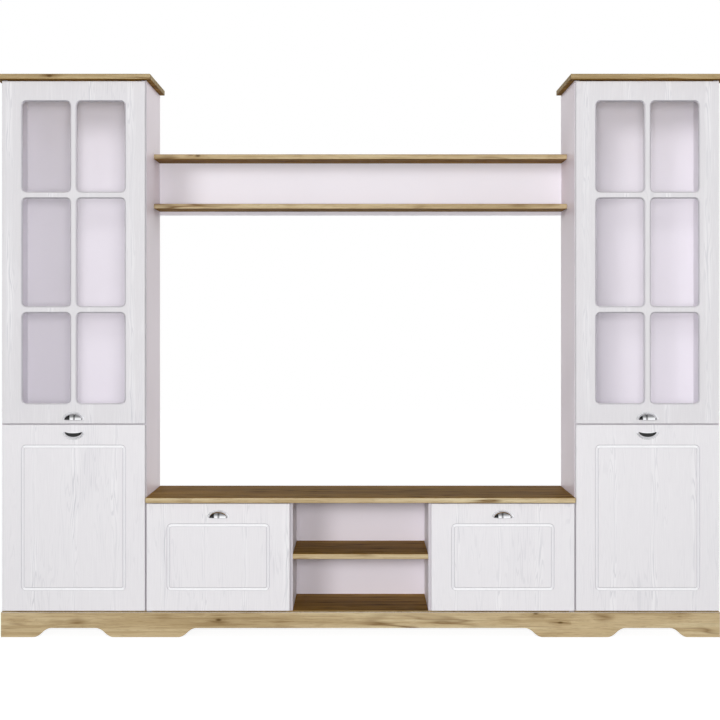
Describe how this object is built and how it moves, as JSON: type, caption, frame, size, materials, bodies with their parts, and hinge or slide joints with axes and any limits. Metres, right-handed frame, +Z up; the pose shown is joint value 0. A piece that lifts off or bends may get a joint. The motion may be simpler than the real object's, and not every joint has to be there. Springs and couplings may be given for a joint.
{
  "type": "entertainment center",
  "caption": "Wall unit with glazed tower cupboards, a low television unit with drawers and an open niche, and a wall shelf that spans between the towers.",
  "frame": {"origin": "on the floor, at the middle of the unit's width and depth", "axes": "+X to the right seen from the front, -Y out of the front, +Y towards the wall, +Z up"},
  "size_m": [2.55, 0.424, 1.968],
  "materials": {
    "white_wood_film": "MDF front wrapped in a satin white film with embossed wood grain",
    "white_board": "plain white melamine-faced chipboard, satin",
    "golden_oak": "golden oak decor on chipboard, satin",
    "clear_glass": "clear float glass",
    "polished_chrome": "polished chrome on a zinc casting",
    "nickel_steel": "nickel-plated pressed steel",
    "white_steel": "white powder-coated steel"
  },
  "bodies": {
    "carcass": {"left_inner_side": "white_board", "left_outer_side": "white_board", "left_bottom": "golden_oak", "left_cornice": "golden_oak", "left_divider": "white_board", "left_back": "white_board", "left_plinth": "golden_oak", "left_glass_shelf": "clear_glass", "left_lower_shelf": "white_board", "left_upper_hinge_top": "nickel_steel", "left_upper_hinge_bottom": "nickel_steel", "left_lower_hinge_top": "nickel_steel", "left_lower_hinge_bottom": "nickel_steel", "right_inner_side": "white_board", "right_outer_side": "white_board", "right_bottom": "golden_oak", "right_cornice": "golden_oak", "right_divider": "white_board", "right_back": "white_board", "right_plinth": "golden_oak", "right_glass_shelf": "clear_glass", "right_lower_shelf": "white_board", "right_upper_hinge_top": "nickel_steel", "right_upper_hinge_bottom": "nickel_steel", "right_lower_hinge_top": "nickel_steel", "right_lower_hinge_bottom": "nickel_steel", "tv_left_side": "white_board", "tv_right_side": "white_board", "tv_left_partition": "white_board", "tv_right_partition": "white_board", "tv_top": "golden_oak", "tv_bottom": "golden_oak", "tv_back": "white_board", "tv_plinth": "golden_oak", "niche_shelf": "golden_oak", "wall_shelf_upper": "golden_oak", "wall_shelf_lower": "golden_oak", "wall_shelf_back": "white_board"},
    "left_upper_door": {"left_glass_door_frame": "white_wood_film", "left_door_glass": "clear_glass", "left_upper_handle": "polished_chrome"},
    "left_lower_door": {"left_lower_door": "white_wood_film", "left_lower_handle": "polished_chrome"},
    "right_upper_door": {"right_glass_door_frame": "white_wood_film", "right_door_glass": "clear_glass", "right_upper_handle": "polished_chrome"},
    "right_lower_door": {"right_lower_door": "white_wood_film", "right_lower_handle": "polished_chrome"},
    "left_drawer": {"left_drawer_front": "white_wood_film", "left_drawer_handle": "polished_chrome", "left_drawer_inner_side": "white_steel", "left_drawer_outer_side": "white_steel", "left_drawer_bottom": "white_board", "left_drawer_rear": "white_board"},
    "right_drawer": {"right_drawer_front": "white_wood_film", "right_drawer_handle": "polished_chrome", "right_drawer_inner_side": "white_steel", "right_drawer_outer_side": "white_steel", "right_drawer_bottom": "white_board", "right_drawer_rear": "white_board"}
  },
  "joints": [
    {"name": "left_upper_door_hinge", "type": "hinge", "parent": "carcass", "child": "left_upper_door", "pos_m": [-1.249, -0.182, 1.3465], "axis": [0, 0, -1], "range_deg": [0, 105]},
    {"name": "left_lower_door_hinge", "type": "hinge", "parent": "carcass", "child": "left_lower_door", "pos_m": [-1.249, -0.182, 0.418], "axis": [0, 0, -1], "range_deg": [0, 105]},
    {"name": "right_upper_door_hinge", "type": "hinge", "parent": "carcass", "child": "right_upper_door", "pos_m": [1.249, -0.182, 1.3465], "axis": [0, 0, 1], "range_deg": [0, 105]},
    {"name": "right_lower_door_hinge", "type": "hinge", "parent": "carcass", "child": "right_lower_door", "pos_m": [1.249, -0.182, 0.418], "axis": [0, 0, 1], "range_deg": [0, 105]},
    {"name": "left_drawer_slide", "type": "slide", "parent": "carcass", "child": "left_drawer", "axis": [0, -1, 0], "range_m": [0, 0.24]},
    {"name": "right_drawer_slide", "type": "slide", "parent": "carcass", "child": "right_drawer", "axis": [0, -1, 0], "range_m": [0, 0.24]}
  ]
}
